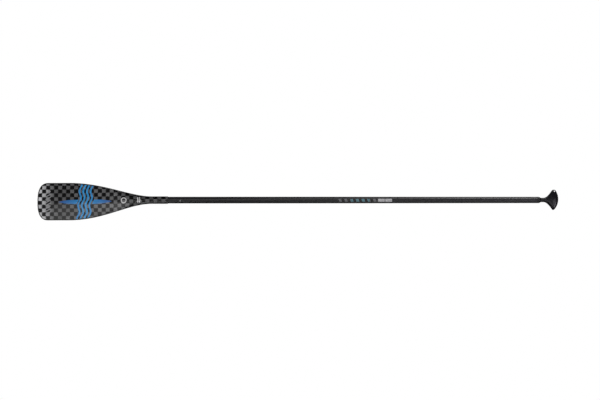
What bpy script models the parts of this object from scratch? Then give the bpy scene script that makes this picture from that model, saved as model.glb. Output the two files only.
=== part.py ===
"""A fixed-length paddle for stand-up paddleboarding: bent carbon blade, tapered shaft and T-grip.

Everything is modelled in the paddle's own frame, with x running along the shaft's axis from the
blade's tip, z square to the blade's power face, and the axis at y = z = 0. One empty then lays the
whole paddle on the ground, resting on the flat panel at the blade's tip and on the grip.
"""
import math

import bmesh
import bpy

# Overall
LENGTH = 2.286             # blade tip to the crown of the grip
BOND = 0.00015             # glue line between round pieces that slide into each other
GAP = 0.0003               # joint between pieces that butt together

# Blade outline, seen square to the power face
BLADE_LENGTH = 0.505       # tip to where the neck is round
BLADE_WIDTH = 0.1648
TIP_CORNER = 0.050         # length of the rounded tip, a superellipse
TIP_SQUARENESS = 2.6       # its exponent: 2 is an ellipse, more is squarer
TIP_EDGE = 0.094           # stretch of the tip's edge that runs nearly straight across
SIDES_DRAW_IN = 0.139      # tip to where the parallel sides begin to draw in
SHOULDER_REACH = 0.155     # how far the side keeps its direction below the shoulder
NECK_REACH = 0.099         # and above the neck

# Blade form
PANEL_LENGTH = 0.150       # flat panel at the tip
BLADE_DROP = 0.072         # from the shaft's axis down to the panel's upper end
PANEL_REACH = 0.140        # how far the bend keeps the panel's direction
BEND_REACH = 0.085         # how far it keeps the shaft's direction
BEND_CLEARANCE = 0.005     # straight stretch between the bend and the shaft's lower end
EDGE_HALF = 0.0018         # half the thickness at the edge
EDGE_ROUNDING = 0.002      # distance over which a face rolls over to the edge
FACE_RIDGE = 0.0036        # height of the power face's centre ridge over its edges
RIDGE_SOFTNESS = 0.16      # share of the half width over which the ridge is rounded
BACK_CROWN = 0.0022        # bulge of the back between its edges
SPINE_HEIGHT = 0.0085      # rib that carries the neck's load down the back
SPINE_HALF_WIDTH = 0.020
SPINE_FULL = 0.360         # tip to where the rib has its full height
ROUNDING_FROM = 0.290      # tip to where the section begins to turn round

# Blade layers
SKIN = 0.00085
RAIL_WIDTH = 0.004         # moulded bead round the edge
RAIL_NOSE_START = 0.02     # share of its width before its section begins to round
RAIL_TO_NECK = 0.135       # from the bead's ends, one on each side, to the round neck
RAIL_TAPER = 0.100         # length of its tapered end
RAIL_END_WIDTH = 0.0006
BLOCK_LENGTH = 0.136       # denser foam below the shaft's lower end
BORE_FADE = 0.035          # stretch over which the hollow turns into the round bore

# Neck and shaft
NECK_LENGTH = 0.070        # round part of the blade's neck
NECK_CHAMFER = 0.0007
SOCKET_DEPTH = 0.094       # how far the shaft goes into the neck
SLEEVE_WALL = 0.0006
SHAFT_DIAMETER = 0.0290    # at the blade
SHAFT_TOP_DIAMETER = 0.0275
SHAFT_WALL = 0.0015
TAPER_LENGTH = 1.040       # tapered stretch below the grip
PLUG_LENGTH = 0.030        # foam bulkhead near each end of the shaft
PLUG_INSET = 0.004
PLUG_CHAMFER = 0.001

# Grip
GRIP_LENGTH = 0.0948       # seam on the shaft to the crown of the palm
GRIP_DEPTH = 0.027         # through the palm
GRIP_WALL = 0.0022
GRIP_SQUARENESS = 2.4      # exponent of the T's section: 2 is an ellipse
COLLAR_LENGTH = 0.0085
SHOULDER_LENGTH = 0.0105
GRIP_NECK_DIAMETER = 0.0190
GRIP_NECK_LENGTH = 0.011
WING_START = 0.067         # seam to where the flare meets the rounded wing tip
WING_ROOT = 0.0415         # from the axis to the outline there
WING_SLOPE = 1.5           # how steeply the flare runs out into it
WING_END = 0.084           # seam to where the wing tip meets the palm's arch
WING_REACH = 0.0436        # from the axis to the end of the plain wing
HOLED_WING_REACH = 0.0449  # and to the end of the wing with the lanyard hole
PALM_RADIUS = 0.074        # arch of the palm across the T
PALM_OFF_AXIS = 0.0027     # its crown lies this far towards the holed wing
PALM_START = 0.080         # seam to where the faces roll over into the palm
PALM_CROWN = 0.010         # straight bit in the middle of the palm's edge
CAVITY_REACH = 0.031       # from the axis to the end of the hollow; the wing tips are solid
LANYARD_HOLE = 0.007
LANYARD_OFF_AXIS = 0.0381
LANYARD_BELOW_CROWN = 0.0162

# Spigot that joins the grip to the shaft
BARREL_LENGTH = 0.055
RIB_COUNT = 5
RIB_RAMP = 0.15            # shares of the ribs' pitch: the slope up, and the same down
RIB_CREST = 0.55           # and the level top
GLUE_GROOVE = 0.0006
STEM_LENGTH = 0.046
STEM_CHAMFER = 0.001

# Facets
COLUMNS = 16               # across the blade, and round half the shaft
TIP_ROWS = 8               # along the blade, round its rounded tip
STRAIGHT_ROWS = 3          # beside its parallel sides
SIDE_ROWS = 15             # and from there to the neck
ROW_SPACING = 0.003        # rows closer than this to a layer's end are left out
NOSE_FACETS = 8            # round the bead's section
GRIP_COLUMNS = 20          # round half the grip
SHOULDER_ROWS = 4
FLARE_ROWS = 8
WING_ROWS = 6
PALM_ROWS = 6
SHARP_ANGLE = 40           # degrees; edges that turn by more stay crisp
NUDGE = 1e-5               # step for slopes

# What follows from those sizes
HALF_WIDTH = BLADE_WIDTH / 2
SHAFT_RADIUS = SHAFT_DIAMETER / 2
SHAFT_TOP_RADIUS = SHAFT_TOP_DIAMETER / 2
SLEEVE_BORE = SHAFT_RADIUS + BOND
SLEEVE_RADIUS = SLEEVE_BORE + SLEEVE_WALL
NECK_BORE = SLEEVE_RADIUS + BOND
NECK_RADIUS = NECK_BORE + SKIN
SEAM_ANGLE = GAP / 2 / NECK_RADIUS    # half the slit between the skins down the neck's sides
NECK_END = BLADE_LENGTH + NECK_LENGTH
SHAFT_START = NECK_END - SOCKET_DEPTH
CORE_END = SHAFT_START - BLOCK_LENGTH  # the panel foam meets the neck block
RAIL_END = BLADE_LENGTH - RAIL_TO_NECK
BEND_TOP = SHAFT_START - BEND_CLEARANCE
SEAM = LENGTH - GRIP_LENGTH           # shaft meets grip
GRIP_NECK_RADIUS = GRIP_NECK_DIAMETER / 2
STEM_BORE = GRIP_NECK_RADIUS - GRIP_WALL
STEM_RADIUS = STEM_BORE - GAP
FLARE_START = COLLAR_LENGTH + SHOULDER_LENGTH + GRIP_NECK_LENGTH
SIDE_CURVE = (
    (SIDES_DRAW_IN, HALF_WIDTH),
    (SIDES_DRAW_IN + SHOULDER_REACH, HALF_WIDTH),
    (BLADE_LENGTH - NECK_REACH, NECK_RADIUS),
    (BLADE_LENGTH, NECK_RADIUS),
)


def smooth(share):
    """0 to 1 with level ends."""
    share = min(max(share, 0.0), 1.0)
    return share * share * (3 - 2 * share)


def mix(a, b, share):
    return tuple(p + (q - p) * share for p, q in zip(a, b))


def bezier(points, t):
    """The point at t on a cubic curve with these four control points."""
    weights = ((1 - t) ** 3, 3 * (1 - t) ** 2 * t, 3 * (1 - t) * t * t, t ** 3)
    return tuple(sum(w * p[axis] for w, p in zip(weights, points)) for axis in (0, 1))


def bezier_height(points, x):
    """The curve's second coordinate where its first is x; the first only grows along it."""
    low, high = 0.0, 1.0
    for _ in range(40):
        middle = (low + high) / 2
        if bezier(points, middle)[0] < x:
            low = middle
        else:
            high = middle
    return bezier(points, low)[1]


# Grip outline: g is the distance from the seam on the shaft, side is 1 towards the lanyard hole

def arch_edge(g, side, shrink=0.0):
    """From the axis to the palm's arch at g, for the outside or for a surface shrink inside it."""
    radius = PALM_RADIUS - shrink
    below = max(GRIP_LENGTH - shrink - g, 0.0)
    half = math.sqrt(max(radius ** 2 - (radius - below) ** 2, 0.0))
    return max(half, PALM_CROWN / 2) + side * PALM_OFF_AXIS


def grip_edge(g, side):
    """From the axis to the T's outline at g."""
    if g <= FLARE_START:
        share = smooth((g - COLLAR_LENGTH) / SHOULDER_LENGTH)
        return SHAFT_TOP_RADIUS + (GRIP_NECK_RADIUS - SHAFT_TOP_RADIUS) * share
    if g <= WING_START:
        reach = (WING_START - FLARE_START) / 3
        return bezier_height((
            (FLARE_START, GRIP_NECK_RADIUS), (FLARE_START + reach, GRIP_NECK_RADIUS),
            (WING_START - reach, WING_ROOT - WING_SLOPE * reach), (WING_START, WING_ROOT),
        ), g)
    if g >= WING_END:
        return arch_edge(g, side)
    # The wing tip's curve keeps both directions and has its full reach at its middle
    landing = arch_edge(WING_END, side)
    reach = HOLED_WING_REACH if side > 0 else WING_REACH
    height = (reach - (WING_ROOT + landing) / 8) * 4 / 3
    arch_slope = (PALM_RADIUS - GRIP_LENGTH + WING_END) / (landing - side * PALM_OFF_AXIS)
    return bezier_height((
        (WING_START, WING_ROOT), (WING_START + (height - WING_ROOT) / WING_SLOPE, height),
        (WING_END - (height - landing) / arch_slope, height), (WING_END, landing),
    ), g)


def grip_stations():
    """Distances from the seam to the grip's rows, the last at the crown of the palm."""
    rows = [0.0]
    rows += [COLLAR_LENGTH + SHOULDER_LENGTH * step / SHOULDER_ROWS
             for step in range(SHOULDER_ROWS + 1)]
    rows += [FLARE_START + (WING_START - FLARE_START) * step / FLARE_ROWS
             for step in range(FLARE_ROWS + 1)]
    rows += [WING_START + (WING_END - WING_START) * step / WING_ROWS
             for step in range(1, WING_ROWS + 1)]
    palm_length = GRIP_LENGTH - PALM_START
    first = math.asin((WING_END - PALM_START) / palm_length)
    rows += [PALM_START + palm_length * math.sin(first + (math.pi / 2 - first) * step / PALM_ROWS)
             for step in range(1, PALM_ROWS + 1)]
    return rows


def grip_half_depth(g):
    """Half the grip's thickness at g, outside."""
    palm = GRIP_DEPTH / 2
    if g <= FLARE_START:
        share = smooth((g - COLLAR_LENGTH) / SHOULDER_LENGTH)
        return SHAFT_TOP_RADIUS + (GRIP_NECK_RADIUS - SHAFT_TOP_RADIUS) * share
    if g <= PALM_START:
        share = smooth((g - FLARE_START) / (PALM_START - FLARE_START))
        return GRIP_NECK_RADIUS + (palm - GRIP_NECK_RADIUS) * share
    roll = (g - PALM_START) / (GRIP_LENGTH - PALM_START)
    return palm * math.sqrt(max(1 - roll * roll, 0.0))


# Resting attitude: the ground touches the panel's upper end and the grip

def rest_slope():
    """Slope of the ground line in the paddle's frame: it lies under every point of the grip."""
    panel_back = -BLADE_DROP - EDGE_HALF
    return min(
        (-grip_half_depth(g) - panel_back) / (SEAM + g - PANEL_LENGTH)
        for g in grip_stations()
    )


REST_SLOPE = rest_slope()
BEND_CURVE = (
    (PANEL_LENGTH, -BLADE_DROP),
    (PANEL_LENGTH + PANEL_REACH, -BLADE_DROP + PANEL_REACH * REST_SLOPE),
    (BEND_TOP - BEND_REACH, 0.0),
    (BEND_TOP, 0.0),
)


# Blade surfaces

def middle_height(x):
    """Height of the blade's middle surface: level with the shaft, bent down, then the flat panel."""
    if x >= BEND_TOP:
        return 0.0
    if x > PANEL_LENGTH:
        return bezier_height(BEND_CURVE, x)
    return -BLADE_DROP + REST_SLOPE * (x - PANEL_LENGTH)


def half_width(x):
    """Half the blade's width at x, outside its bead."""
    if x < TIP_CORNER:
        left = 1 - x / TIP_CORNER
        return HALF_WIDTH * (1 - left ** TIP_SQUARENESS) ** (1 / TIP_SQUARENESS)
    if x <= SIDES_DRAW_IN:
        return HALF_WIDTH
    if x >= BLADE_LENGTH:
        return NECK_RADIUS
    return bezier_height(SIDE_CURVE, x)


def tip_x(y):
    """Where the tip's rounded edge lies at y off the centreline."""
    share = 1 - (abs(y) / HALF_WIDTH) ** TIP_SQUARENESS
    return TIP_CORNER * (1 - share ** (1 / TIP_SQUARENESS))


def inside_edge(x, y, inset):
    """The point that lies inset inside the outline's point (x, y), for y on either side."""
    side = math.copysign(1.0, y)
    if x < TIP_CORNER:
        power = TIP_SQUARENESS - 1
        out_x = -((1 - x / TIP_CORNER) ** power) / TIP_CORNER
        out_y = side * (abs(y) / HALF_WIDTH) ** power / HALF_WIDTH
    else:
        out_x = -(half_width(x + NUDGE) - half_width(x - NUDGE)) / (2 * NUDGE)
        out_y = side
    size = math.hypot(out_x, out_y)
    return x - inset * out_x / size, y - inset * out_y / size


def section(x, angle, side):
    """(y, height) of the blade's outer surface, as its height over the middle surface.

    The angle runs from 0 at the +Y edge to pi at the -Y edge. side is 1 on the power face and -1 on
    the back. The section is a thin lens in the blade and turns into a circle at the neck.
    """
    width = half_width(max(x, TIP_CORNER))
    across = abs(math.cos(angle))
    y = width * math.cos(angle)
    from_edge = min(width * (1 - across) / EDGE_ROUNDING, 1.0)
    height = EDGE_HALF * math.sqrt(1 - (1 - from_edge) ** 2)
    leaves_panel = smooth((x - PANEL_LENGTH) / (SPINE_FULL - PANEL_LENGTH))
    if side > 0:
        soft = RIDGE_SOFTNESS
        fall = (math.hypot(across, soft) - soft) / (math.hypot(1, soft) - soft)
        height += FACE_RIDGE * smooth(x / PANEL_LENGTH) * (1 - fall)
    else:
        height += BACK_CROWN * leaves_panel * (1 - across ** 2)
        off_spine = min(abs(y) / SPINE_HALF_WIDTH, 1.0)
        height += SPINE_HEIGHT * leaves_panel * (1 - off_spine ** 2) ** 2
    roundness = smooth((x - ROUNDING_FROM) / (BEND_TOP - ROUNDING_FROM))
    return y, (1 - roundness) * height + roundness * NECK_RADIUS * math.sin(angle)


def surface(x, angle, side, depth, bore):
    """The surface depth under the blade's skin; at the neck it turns into a round bore."""
    before = section(x, angle - NUDGE, side)
    after = section(x, angle + NUDGE, side)
    across, up = after[0] - before[0], after[1] - before[1]
    size = math.hypot(across, up)
    y, height = section(x, angle, side)
    y, height = y - depth * up / size, height + depth * across / size
    if bore:
        into_bore = smooth((x - BEND_TOP + BORE_FADE) / BORE_FADE)
        y, height = mix((y, height), (bore * math.cos(angle), bore * math.sin(angle)), into_bore)
    return x, y, middle_height(x) + side * height


def rail_width(x):
    taper = smooth((x - RAIL_END + RAIL_TAPER) / RAIL_TAPER)
    return RAIL_WIDTH + (RAIL_END_WIDTH - RAIL_WIDTH) * taper


def blade_stations():
    """Places down the blade's side, as x, from the end of the tip's straight edge to the neck's lip.

    All layers share them, so that their facets run parallel.
    """
    fixed = [CORE_END, RAIL_END, RAIL_END + 2 * GAP, SHAFT_START, NECK_END - NECK_CHAMFER]
    places = []
    first = math.asin((TIP_EDGE / BLADE_WIDTH) ** (TIP_SQUARENESS / 2))
    for step in range(TIP_ROWS):
        turn = first + (math.pi / 2 - first) * step / TIP_ROWS
        places.append(TIP_CORNER * (1 - math.cos(turn) ** (2 / TIP_SQUARENESS)))
    straight = SIDES_DRAW_IN - TIP_CORNER
    places += [TIP_CORNER + straight * step / STRAIGHT_ROWS for step in range(STRAIGHT_ROWS)]
    places += [bezier(SIDE_CURVE, step / SIDE_ROWS)[0] for step in range(SIDE_ROWS + 1)]
    free = [x for x in places if min(abs(x - other) for other in fixed) > ROW_SPACING]
    return sorted(free + fixed)


def columns_from(edge_angle, count):
    """Angles across a half section that stops edge_angle short of each side."""
    return [edge_angle + (math.pi - 2 * edge_angle) * step / count for step in range(count + 1)]


def blade_grid(stations, inset_at, side, depth, bore=0.0):
    """Rows of points on one surface of the blade, inset from its outline.

    The first row follows the tip's edge, and the rows straighten as they leave it.
    """
    rows = []
    lead_x = None
    for x in stations:
        inset = inset_at(x)
        row_x, edge = inside_edge(x, half_width(x), inset)
        width = half_width(max(row_x, TIP_CORNER))
        edge_angle = math.acos(edge / width) if inset else SEAM_ANGLE
        shares = [math.cos(a) / math.cos(edge_angle) for a in columns_from(edge_angle, COLUMNS)]
        if lead_x is None:
            lead_x = row_x
            tip = [inside_edge(tip_x(v * TIP_EDGE / 2), v * TIP_EDGE / 2, inset) for v in shares]
        row = []
        fade = 1 - smooth((row_x - lead_x) / TIP_CORNER)
        for share, (bow_x, bow_y) in zip(shares, tip):
            at_x = row_x - (lead_x - bow_x) * fade if x < TIP_CORNER else row_x
            at_y = bow_y if x == stations[0] else edge * share
            angle = math.acos(max(min(at_y / half_width(max(at_x, TIP_CORNER)), 1), -1))
            row.append(surface(at_x, angle, side, depth, bore))
        rows.append(row)
    return rows


# Meshes

def add_object(name, mesh, colour, roughness, metallic=0.0):
    """One named piece with its own material, carried by the resting empty."""
    bmesh.ops.recalc_face_normals(mesh, faces=mesh.faces)
    if mesh.calc_volume(signed=True) < 0:
        bmesh.ops.reverse_faces(mesh, faces=mesh.faces)
    data = bpy.data.meshes.new(name)
    mesh.to_mesh(data)
    mesh.free()
    data.shade_smooth()
    data.set_sharp_from_angle(angle=math.radians(SHARP_ANGLE))
    material = bpy.data.materials.new(name)
    material.use_nodes = True
    shader = material.node_tree.nodes["Principled BSDF"]
    shader.inputs["Base Color"].default_value = (*colour, 1)
    shader.inputs["Roughness"].default_value = roughness
    shader.inputs["Metallic"].default_value = metallic
    data.materials.append(material)
    piece = bpy.data.objects.new(name, data)
    bpy.context.scene.collection.objects.link(piece)
    piece.parent = bpy.data.objects["paddle_at_rest"]
    return piece


def slab(upper, lower):
    """A closed body between two grids of points with the same rows and columns."""
    mesh = bmesh.new()
    top = [[mesh.verts.new(p) for p in row] for row in upper]
    bottom = [[mesh.verts.new(p) for p in row] for row in lower]
    last_row, last = len(top) - 1, len(top[0]) - 1
    for i in range(last_row):
        for j in range(last):
            mesh.faces.new((top[i][j], top[i + 1][j], top[i + 1][j + 1], top[i][j + 1]))
            mesh.faces.new((bottom[i][j], bottom[i][j + 1], bottom[i + 1][j + 1], bottom[i + 1][j]))
        for j in (0, last):
            mesh.faces.new((top[i][j], bottom[i][j], bottom[i + 1][j], top[i + 1][j]))
    for j in range(last):
        for i in (0, last_row):
            mesh.faces.new((top[i][j], top[i][j + 1], bottom[i][j + 1], bottom[i][j]))
    return mesh


def loft(rings):
    """A closed body through rings of points, with flat ends."""
    mesh = bmesh.new()
    loops = [[mesh.verts.new(p) for p in ring] for ring in rings]
    count = len(loops[0])
    for first, second in zip(loops, loops[1:]):
        for j in range(count):
            k = (j + 1) % count
            mesh.faces.new((first[j], first[k], second[k], second[j]))
    mesh.faces.new(loops[0])
    mesh.faces.new(loops[-1])
    return mesh


def turned(profile, steps=2 * COLUMNS):
    """A closed body spun round the shaft's axis from a closed profile of (x, radius) points."""
    mesh = bmesh.new()
    points = [mesh.verts.new((x, radius, 0)) for x, radius in profile]
    edges = [mesh.edges.new((a, b)) for a, b in zip(points, points[1:])]
    if min(radius for _, radius in profile) > 0:
        edges.append(mesh.edges.new((points[-1], points[0])))
    bmesh.ops.spin(
        mesh, geom=points + edges, cent=(0, 0, 0), axis=(1, 0, 0), angle=2 * math.pi,
        steps=steps, use_merge=True,
    )
    bmesh.ops.remove_doubles(mesh, verts=mesh.verts, dist=1e-6)
    return mesh


# Blade

def layer_inset(x):
    """From the outline to a layer's edge: it stops at the bead, or where the two sides meet."""
    return rail_width(x) + GAP if x <= RAIL_END else 0.0


def add_skin(name, side):
    """Carbon laminate over one side of the blade and neck, as one half of a long shell."""
    stations = blade_stations()
    outside = blade_grid(stations, layer_inset, side, 0.0)
    inside = blade_grid(stations, layer_inset, side, SKIN, NECK_BORE)
    lip = NECK_RADIUS - NECK_CHAMFER
    outer_lip, inner_lip = [], []
    for angle in columns_from(SEAM_ANGLE, COLUMNS):
        turn = (math.cos(angle), side * math.sin(angle))
        outer_lip.append((NECK_END, lip * turn[0], lip * turn[1]))
        inner_lip.append((NECK_END, NECK_BORE * turn[0], NECK_BORE * turn[1]))
    return add_object(
        name, slab(outside + [outer_lip], inside + [inner_lip]), (0.03, 0.03, 0.035), 0.25)


def add_filling(name, stations, colour):
    """Foam between the two skins over a run of the blade."""
    depth, bore = SKIN + GAP, NECK_BORE - GAP
    upper = blade_grid(stations, layer_inset, 1, depth, bore)
    lower = blade_grid(stations, layer_inset, -1, depth, bore)
    return add_object(name, slab(upper, lower), colour, 0.9)


def add_edge_rail():
    """Bead moulded round the blade's edge: up one side, across the tip and down the other."""
    side_places = [x for x in blade_stations() if x < RAIL_END] + [RAIL_END - GAP]
    edge_angle = math.acos(1 - RAIL_WIDTH / HALF_WIDTH)
    shares = [math.cos(a) / math.cos(edge_angle) for a in columns_from(edge_angle, COLUMNS)]
    one_side = [(x, half_width(x)) for x in reversed(side_places[1:])]
    tip = [(tip_x(v * TIP_EDGE / 2), v * TIP_EDGE / 2) for v in shares]
    path = one_side + tip + [(x, -y) for x, y in reversed(one_side)]
    rings = []
    for x, y in path:
        width = rail_width(x)
        in_x, in_y = inside_edge(x, y, width)
        angle = math.acos(in_y / half_width(max(in_x, TIP_CORNER)))
        top = surface(in_x, angle, 1, 0.0, 0.0)[2]
        bottom = surface(in_x, angle, -1, 0.0, 0.0)[2]
        middle, half = (top + bottom) / 2, (top - bottom) / 2
        ring = [(in_x, in_y, bottom)]
        for step in range(NOSE_FACETS + 1):
            turn = math.pi * (step / NOSE_FACETS - 0.5)
            out = abs(math.cos(turn)) ** (2 / 3)
            rise = math.copysign(abs(math.sin(turn)) ** (2 / 3), turn)
            share = RAIL_NOSE_START + (1 - RAIL_NOSE_START) * out
            ring.append((*mix((in_x, in_y), (x, y), share), middle + half * rise))
        ring.append((in_x, in_y, top))
        rings.append(ring)
    return add_object("blade_edge_rail", loft(rings), (0.008, 0.008, 0.009), 0.45)


# Neck and shaft

def shaft_radius(x):
    """Outside radius of the shaft: parallel from the blade, then an even taper to the grip."""
    share = min(max((x - (SEAM - TAPER_LENGTH)) / TAPER_LENGTH, 0.0), 1.0)
    return SHAFT_RADIUS + (SHAFT_TOP_RADIUS - SHAFT_RADIUS) * share


def bulkhead(start):
    """Foam plug that seals the shaft against water."""
    end, edge = start + PLUG_LENGTH, PLUG_CHAMFER
    fit = SHAFT_WALL + BOND
    return turned([
        (start, 0), (start, shaft_radius(start) - fit - edge),
        (start + edge, shaft_radius(start + edge) - fit),
        (end - edge, shaft_radius(end - edge) - fit),
        (end, shaft_radius(end) - fit - edge), (end, 0),
    ])


def add_neck_and_shaft():
    sleeve = turned([
        (SHAFT_START, SLEEVE_BORE), (SHAFT_START, SLEEVE_RADIUS),
        (NECK_END - GAP, SLEEVE_RADIUS), (NECK_END - GAP, SLEEVE_BORE),
    ])
    add_object("neck_sleeve", sleeve, (0.02, 0.02, 0.022), 0.5)
    taper_start, end = SEAM - TAPER_LENGTH, SEAM - GAP
    outside = [(x, shaft_radius(x)) for x in (SHAFT_START, taper_start, end)]
    inside = [(x, radius - SHAFT_WALL) for x, radius in reversed(outside)]
    add_object("shaft_tube", turned(outside + inside), (0.03, 0.03, 0.033), 0.35)
    add_object("shaft_lower_plug", bulkhead(SHAFT_START + PLUG_INSET), (0.75, 0.73, 0.66), 0.9)
    upper = SEAM - BARREL_LENGTH - PLUG_INSET - PLUG_LENGTH
    add_object("shaft_upper_plug", bulkhead(upper), (0.75, 0.73, 0.66), 0.9)


# Grip

def add_spigot():
    """Ribbed insert: its barrel is glued into the shaft and its stem is clamped by the shells."""
    fit = SHAFT_WALL + BOND
    start = SEAM - BARREL_LENGTH
    pitch = BARREL_LENGTH / RIB_COUNT
    profile = [(start, 0)]
    for rib in range(RIB_COUNT):
        crest_end = RIB_RAMP + RIB_CREST
        for along, groove in ((0, 1), (RIB_RAMP, 0), (crest_end, 0), (crest_end + RIB_RAMP, 1)):
            x = start + pitch * (rib + along)
            profile.append((x, shaft_radius(x) - fit - GLUE_GROOVE * groove))
    head = SEAM + STEM_LENGTH
    profile += [
        (SEAM - GAP, shaft_radius(SEAM) - fit - GLUE_GROOVE), (SEAM - GAP, STEM_RADIUS),
        (head - STEM_CHAMFER, STEM_RADIUS), (head, STEM_RADIUS - STEM_CHAMFER), (head, 0),
    ]
    add_object("grip_spigot", turned(profile), (0.16, 0.16, 0.17), 0.6)


def grip_ring(g, reaches, depth, side):
    """Half a superellipse across the grip, between its reaches towards and away from the hole."""
    spread = smooth((g - FLARE_START) / (WING_START - FLARE_START))
    power = 2 / (2 + (GRIP_SQUARENESS - 2) * spread)
    middle, half = (reaches[0] - reaches[1]) / 2, (reaches[0] + reaches[1]) / 2
    ring = []
    for angle in columns_from(0.0, GRIP_COLUMNS):
        cos, sin = math.cos(angle), math.sin(angle)
        y = middle + half * math.copysign(abs(cos) ** power, cos)
        z = depth * abs(sin) ** power if 0 < angle < math.pi - NUDGE else 0.0
        ring.append((SEAM + g, y, side * (z + GAP / 2)))
    return ring


def add_grip_shell(name, side, cutter):
    """One half of the moulded T: hollow round the stem, solid in the wing tips."""
    outside, inside = [], []
    for g in grip_stations():
        reaches = [grip_edge(g, towards) for towards in (1, -1)]
        depth = max(grip_half_depth(g) - GAP / 2, 0.0)
        outside.append(grip_ring(g, reaches, depth, side))
        if g <= FLARE_START:
            within, hollow, deep = g, [STEM_BORE, STEM_BORE], STEM_BORE
        else:
            within = g * (GRIP_LENGTH - GRIP_WALL) / GRIP_LENGTH
            spread = smooth((g - FLARE_START) / (WING_START - FLARE_START))
            hollow = []
            for towards, reach in zip((1, -1), reaches):
                full = min(reach - GRIP_WALL, CAVITY_REACH)
                at_arch = arch_edge(within, towards, GRIP_WALL)
                hollow.append(min(STEM_BORE + (full - STEM_BORE) * spread, at_arch))
            deep = grip_half_depth(g) * (1 - GRIP_WALL / GRIP_NECK_RADIUS)
        inside.append(grip_ring(within, hollow, max(deep - GAP / 2, 0.0), side))
    piece = add_object(name, slab(outside, inside), (0.012, 0.012, 0.013), 0.4)
    hole = piece.modifiers.new("Lanyard hole", "BOOLEAN")
    hole.operation = "DIFFERENCE"
    hole.solver = "MANIFOLD"
    hole.object = cutter
    return piece


def add_lanyard_cutter():
    """Guide for the hole through one wing tip. It isn't part of the paddle."""
    mesh = bmesh.new()
    bmesh.ops.create_cone(
        mesh, cap_ends=True, segments=24, radius1=LANYARD_HOLE / 2, radius2=LANYARD_HOLE / 2,
        depth=2 * GRIP_DEPTH,
    )
    cutter = add_object("lanyard_cutter", mesh, (1, 0, 0), 0.5)
    cutter.location = (LENGTH - LANYARD_BELOW_CROWN, LANYARD_OFF_AXIS, 0)
    cutter.hide_render = True
    cutter.display_type = "WIRE"
    return cutter


def lay_at_rest():
    """The empty that carries every piece: it tips the paddle so that the ground is z = 0.

    Its origin ends up under the middle of the paddle's length.
    """
    carrier = bpy.data.objects.new("paddle_at_rest", None)
    bpy.context.scene.collection.objects.link(carrier)
    tilt = math.atan(REST_SLOPE)
    tip_x_world = middle_height(0.0) * math.sin(tilt)
    crown_x_world = LENGTH * math.cos(tilt)
    ground_at_tip = -BLADE_DROP - EDGE_HALF - REST_SLOPE * PANEL_LENGTH
    carrier.rotation_euler = (0, tilt, 0)
    carrier.location = (-(tip_x_world + crown_x_world) / 2, 0, -ground_at_tip * math.cos(tilt))


for old in list(bpy.data.objects):
    bpy.data.objects.remove(old)
lay_at_rest()
add_skin("blade_face_skin", 1)
add_skin("blade_back_skin", -1)
add_edge_rail()
foam = [x for x in blade_stations() if x <= CORE_END]
add_filling("blade_foam_core", foam, (0.80, 0.76, 0.62))
block = [x for x in blade_stations() if CORE_END < x < SHAFT_START]
add_filling("neck_block", [CORE_END + GAP, *block, SHAFT_START - GAP], (0.72, 0.62, 0.42))
add_neck_and_shaft()
add_spigot()
lanyard_cutter = add_lanyard_cutter()
add_grip_shell("grip_front_shell", 1, lanyard_cutter)
add_grip_shell("grip_back_shell", -1, lanyard_cutter)
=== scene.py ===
"""The looks of a fixed-length stand-up paddle, lying on a pale studio floor and seen from above."""
import math
from functools import lru_cache

import bmesh
import bpy
from mathutils import Matrix, Vector


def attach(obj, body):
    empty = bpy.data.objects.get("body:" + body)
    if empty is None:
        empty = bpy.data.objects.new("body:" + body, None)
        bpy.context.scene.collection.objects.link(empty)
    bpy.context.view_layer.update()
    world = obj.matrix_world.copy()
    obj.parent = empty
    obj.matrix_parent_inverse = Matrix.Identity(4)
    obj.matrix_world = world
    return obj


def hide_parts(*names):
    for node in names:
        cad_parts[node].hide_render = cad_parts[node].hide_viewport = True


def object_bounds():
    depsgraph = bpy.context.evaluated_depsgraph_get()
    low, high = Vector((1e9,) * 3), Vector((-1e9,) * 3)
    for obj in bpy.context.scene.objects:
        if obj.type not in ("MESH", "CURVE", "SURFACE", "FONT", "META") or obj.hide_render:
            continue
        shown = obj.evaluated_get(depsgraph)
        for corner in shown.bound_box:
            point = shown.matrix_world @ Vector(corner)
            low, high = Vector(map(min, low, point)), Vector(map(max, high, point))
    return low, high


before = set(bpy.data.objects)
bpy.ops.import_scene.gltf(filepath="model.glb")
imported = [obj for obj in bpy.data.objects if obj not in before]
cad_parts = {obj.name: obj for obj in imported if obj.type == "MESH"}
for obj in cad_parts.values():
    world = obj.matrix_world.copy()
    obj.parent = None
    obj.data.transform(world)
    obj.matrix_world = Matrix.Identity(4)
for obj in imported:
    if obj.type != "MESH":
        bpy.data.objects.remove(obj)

cad_box = [list(corner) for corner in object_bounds()]


# The view
# The photograph looks almost straight down through a long lens, with the blade on the left. The
# columns of the paddle's ends give the scale, and the shaft's row says where the camera is aimed.

PICTURE_WIDTH, PICTURE_HEIGHT = 600, 400    # pixels
TIP_COLUMN, CROWN_COLUMN = 37.3, 558.1      # where the blade's tip and the palm's crown fall
SHAFT_ROW = 200.06            # where the shaft crosses the picture's middle
VIEW_ELEVATION = math.radians(84.87)
VIEW_AZIMUTH = math.radians(-0.170)         # levels the shaft, which falls towards the grip
VIEW_DISTANCE = 9.0
VIEW_LIMIT = 50.0             # past the floor's far edge, seen from any side
AIM_HEIGHT = 0.008            # half way between the heights of the tip's edge and the crown
SENSOR_WIDTH = 36.0


def shaft_ends():
    """The points of the shaft's axis at the tube's two ends."""
    points = sorted((v.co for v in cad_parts["shaft_tube"].data.vertices), key=lambda p: p.x)
    reach = 0.005
    low = [p for p in points if p.x < points[0].x + reach]
    high = [p for p in points if p.x > points[-1].x - reach]
    return tuple(sum(ring, Vector()) / len(ring) for ring in (low, high))


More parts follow.
